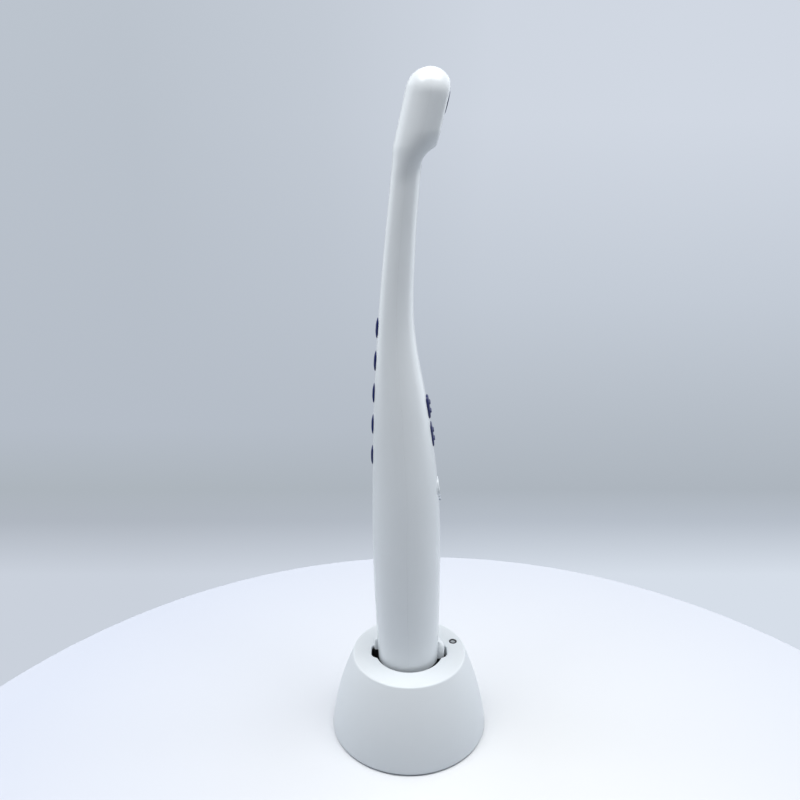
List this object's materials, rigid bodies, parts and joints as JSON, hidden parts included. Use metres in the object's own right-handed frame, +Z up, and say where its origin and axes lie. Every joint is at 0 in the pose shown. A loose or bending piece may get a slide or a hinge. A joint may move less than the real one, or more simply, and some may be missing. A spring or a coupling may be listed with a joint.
{
  "type": "intraoral camera",
  "caption": "Slim white intraoral camera wand with a lens in its curved head and push buttons on its grip, standing in a round charging stand.",
  "frame": {"origin": "on the table, at the middle of the stand's underside", "axes": "+Z up, the lens and the buttons face +X, the power inlet faces +Y"},
  "size_m": [0.0576, 0.0576, 0.2318],
  "materials": {
    "shell_white": "satin moulded plastic",
    "navy_plastic": "satin moulded plastic",
    "navy_rubber": "soft matt pads",
    "dark_plastic": "matt black plastic",
    "dark_rubber": "matt rubber",
    "bare_steel": "plated",
    "gold_contact": "gold plated",
    "circuit_board": "green solder mask",
    "battery_wrap": "shrink wrap",
    "ribbon_film": "amber film",
    "clear_plastic": "frosted clear",
    "diode_clear": "clear domes",
    "lens_glass": "coated, dark blue sheen"
  },
  "bodies": {
    "camera_and_stand": {"stand_shell": "shell_white", "base_plate": "shell_white", "steel_weight": "bare_steel", "charge_board": "circuit_board", "charge_pins": "gold_contact", "power_inlet": "bare_steel", "indicator_collar": "dark_plastic", "indicator_light": "clear_plastic", "rubber_feet": "dark_rubber", "base_screws": "bare_steel", "board_screws": "bare_steel", "front_shell": "shell_white", "back_shell": "shell_white", "foot_cap": "shell_white", "foot_seal": "dark_rubber", "charge_contacts": "gold_contact", "cap_screws": "bare_steel", "inner_frame": "dark_plastic", "battery": "battery_wrap", "main_board": "circuit_board", "image_processor": "dark_plastic", "radio_module": "bare_steel", "button_switches": "dark_plastic", "camera_ribbon": "ribbon_film", "lens_bezel": "navy_plastic", "lens_window": "lens_glass", "lens_barrel": "dark_plastic", "light_board": "circuit_board", "light_diodes": "diode_clear", "image_sensor": "circuit_board", "status_light": "clear_plastic", "grip_pad_1": "navy_rubber", "grip_pad_2": "navy_rubber", "grip_pad_3": "navy_rubber", "grip_pad_4": "navy_rubber", "grip_pad_5": "navy_rubber"},
    "upper_button": {"upper_button": "navy_plastic"},
    "lower_button": {"lower_button": "navy_plastic"},
    "power_button": {"power_button": "shell_white"}
  },
  "joints": [
    {"name": "upper_button_press", "type": "slide", "parent": "camera_and_stand", "child": "upper_button", "axis": [-0.9916, 0, -0.1297], "range_m": [0, 0.0004], "stiffness_N_per_m": 2000, "springref_m": -0.0002},
    {"name": "lower_button_press", "type": "slide", "parent": "camera_and_stand", "child": "lower_button", "axis": [-0.9916, 0, -0.1297], "range_m": [0, 0.0004], "stiffness_N_per_m": 2000, "springref_m": -0.0002},
    {"name": "power_button_press", "type": "slide", "parent": "camera_and_stand", "child": "power_button", "axis": [-0.9916, 0, -0.1297], "range_m": [0, 0.0004], "stiffness_N_per_m": 2000, "springref_m": -0.0002}
  ]
}
